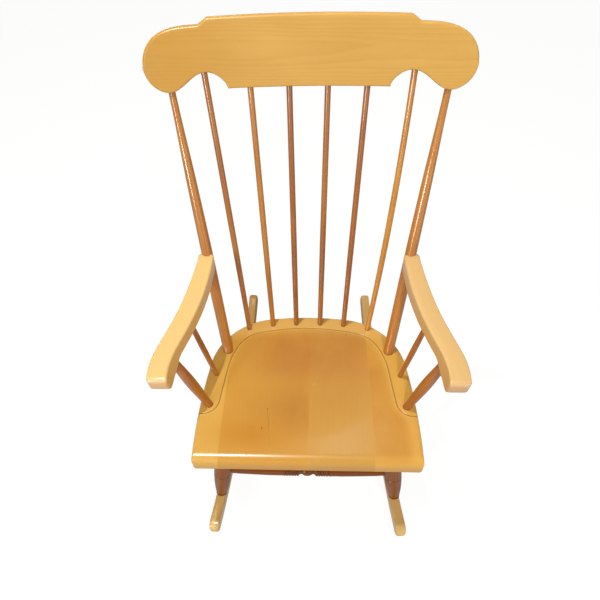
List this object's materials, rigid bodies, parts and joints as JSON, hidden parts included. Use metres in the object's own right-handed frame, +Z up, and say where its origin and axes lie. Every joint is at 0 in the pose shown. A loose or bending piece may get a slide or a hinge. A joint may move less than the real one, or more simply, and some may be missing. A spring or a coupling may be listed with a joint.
{
  "type": "rocking chair",
  "caption": "Wooden rocking chair with a shaped crest rail over a spindle back, curved arms, a hollowed plank seat and turned legs on two runners.",
  "frame": {"origin": "on the floor, at the centre of the footprint of the whole chair", "axes": "+Z up; +X to the right seen from the front; the front of the seat faces -Y"},
  "size_m": [0.6466, 0.7776, 1.0797],
  "materials": {
    "honey_maple": "gloss lacquer over light honey maple",
    "amber_maple": "gloss lacquer over amber stained turned maple",
    "screw_steel": "bright zinc plated"
  },
  "bodies": {
    "root": {"crest_rail": "honey_maple", "arm_left": "honey_maple", "arm_right": "honey_maple", "rocker_left": "honey_maple", "rocker_right": "honey_maple", "seat_board_1": "honey_maple", "seat_board_2": "honey_maple", "seat_board_3": "honey_maple", "seat_board_4": "honey_maple", "back_post_left": "amber_maple", "back_post_right": "amber_maple", "back_spindle_1": "amber_maple", "back_spindle_2": "amber_maple", "back_spindle_3": "amber_maple", "back_spindle_4": "amber_maple", "back_spindle_5": "amber_maple", "back_spindle_6": "amber_maple", "arm_post_left": "amber_maple", "arm_post_right": "amber_maple", "arm_spindle_left": "amber_maple", "arm_spindle_right": "amber_maple", "arm_screw_plugs": "amber_maple", "front_leg_left": "amber_maple", "front_leg_right": "amber_maple", "rear_leg_left": "amber_maple", "rear_leg_right": "amber_maple", "front_stretcher": "amber_maple", "rear_stretcher": "amber_maple", "side_stretcher_left": "amber_maple", "side_stretcher_right": "amber_maple", "arm_screws": "screw_steel"}
  },
  "joints": []
}
